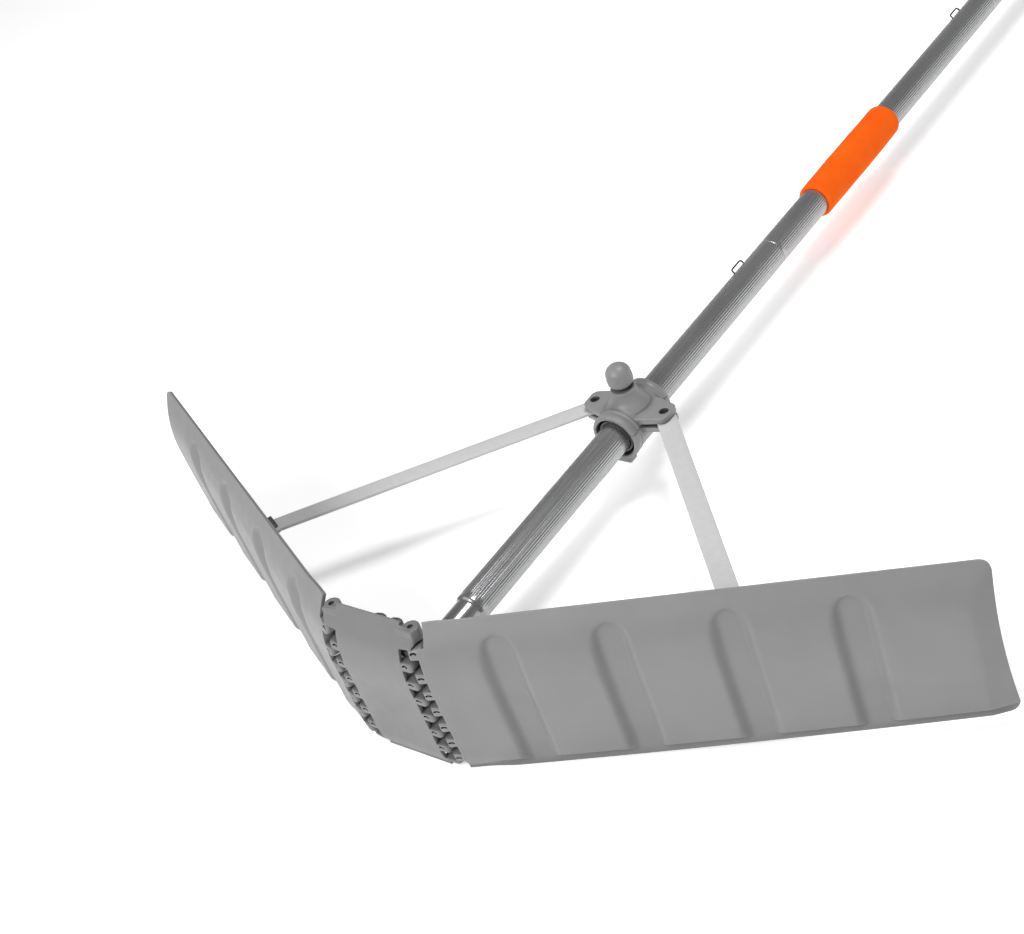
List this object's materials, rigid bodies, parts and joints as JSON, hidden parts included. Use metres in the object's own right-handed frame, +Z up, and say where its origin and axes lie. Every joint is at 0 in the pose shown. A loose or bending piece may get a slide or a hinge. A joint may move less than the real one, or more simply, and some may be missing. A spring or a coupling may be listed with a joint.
{
  "type": "folding snow rake",
  "caption": "Snow rake: a three-panel blade whose hinged wings fold back, tied by struts to a collar that slides along a sectional pole.",
  "frame": {"origin": "middle of the centre panel's bottom edge, on the ground", "axes": "+X along the blade, +Y from the blade towards the far end of the pole, +Z up"},
  "size_m": [0.838, 1.57, 0.143],
  "materials": {
    "panel_plastic": "satin moulded",
    "collar_plastic": "satin moulded",
    "dark_plastic": "moulded",
    "pole_aluminium": "extruded, fluted, polished",
    "strut_metal": "satin",
    "bracket_metal": "satin",
    "fastener_steel": "zinc plated",
    "dark_steel": "blackened",
    "grip_foam": "closed-cell foam"
  },
  "bodies": {
    "frame": {"centre_panel": "panel_plastic", "left_hinge_pin": "fastener_steel", "right_hinge_pin": "fastener_steel", "pole_socket": "dark_plastic", "socket_screw_1": "fastener_steel", "socket_screw_2": "fastener_steel", "socket_screw_3": "fastener_steel", "socket_screw_4": "fastener_steel", "lower_pole_section": "pole_aluminium", "middle_pole_section": "pole_aluminium", "upper_pole_section": "pole_aluminium", "middle_grip": "grip_foam", "end_grip": "grip_foam", "end_cap": "dark_plastic"},
    "collar": {"collar_upper_shell": "collar_plastic", "collar_lower_shell": "collar_plastic", "collar_bushing": "dark_plastic", "left_pivot_screw": "dark_steel", "right_pivot_screw": "dark_steel", "left_pivot_nut": "fastener_steel", "right_pivot_nut": "fastener_steel"},
    "lock": {"lock_knob": "collar_plastic", "plunger_pin": "fastener_steel", "plunger_spring": "fastener_steel"},
    "left_wing": {"left_wing_panel": "panel_plastic", "left_wing_bracket": "bracket_metal", "left_bracket_bolt": "fastener_steel", "left_bracket_nut": "fastener_steel", "left_bracket_screw_1": "fastener_steel", "left_bracket_screw_2": "fastener_steel"},
    "right_wing": {"right_wing_panel": "panel_plastic", "right_wing_bracket": "bracket_metal", "right_bracket_bolt": "fastener_steel", "right_bracket_nut": "fastener_steel", "right_bracket_screw_1": "fastener_steel", "right_bracket_screw_2": "fastener_steel"},
    "left_arm": {"left_strut": "strut_metal"},
    "right_arm": {"right_strut": "strut_metal"},
    "lower_joint_clip": {"lower_clip": "dark_steel"},
    "upper_joint_clip": {"upper_clip": "dark_steel"}
  },
  "joints": [
    {"name": "collar_slide", "type": "slide", "parent": "frame", "child": "collar", "axis": [0, 1, 0], "range_m": [-0.131, 0.1438]},
    {"name": "right_wing_fold", "type": "hinge", "parent": "frame", "child": "right_wing", "pos_m": [0.0404, 0.012, 0.07], "axis": [0, 0, 1], "range_deg": [-25, 27.5]},
    {"name": "left_wing_fold", "type": "hinge", "parent": "frame", "child": "left_wing", "pos_m": [-0.0404, 0.012, 0.07], "axis": [0, 0, -1], "range_deg": [-25, 27.5]},
    {"name": "right_strut_swing", "type": "hinge", "parent": "collar", "child": "right_arm", "pos_m": [0.0366, 0.3461, 0.0675], "axis": [0, 0, -1], "range_deg": [-12.6, 13.8]},
    {"name": "left_strut_swing", "type": "hinge", "parent": "collar", "child": "left_arm", "pos_m": [-0.0366, 0.3461, 0.0675], "axis": [0, 0, 1], "range_deg": [-12.6, 13.8]},
    {"name": "lock_pull", "type": "slide", "parent": "collar", "child": "lock", "axis": [0, 0, 1], "range_m": [0, 0.006], "stiffness_N_per_m": 500, "springref_m": -0.004},
    {"name": "lower_clip_pull", "type": "slide", "parent": "frame", "child": "lower_joint_clip", "axis": [-0.682, 0, 0.7314], "range_m": [0, 0.005]},
    {"name": "upper_clip_pull", "type": "slide", "parent": "frame", "child": "upper_joint_clip", "axis": [-0.682, 0, 0.7314], "range_m": [0, 0.005]}
  ],
  "couplings": [
    {"joint": "right_wing_fold", "follows": "collar_slide", "rad_per_m": 3.2812},
    {"joint": "left_wing_fold", "follows": "collar_slide", "rad_per_m": 3.2812},
    {"joint": "right_strut_swing", "follows": "collar_slide", "rad_per_m": 1.6755},
    {"joint": "left_strut_swing", "follows": "collar_slide", "rad_per_m": 1.6755}
  ]
}
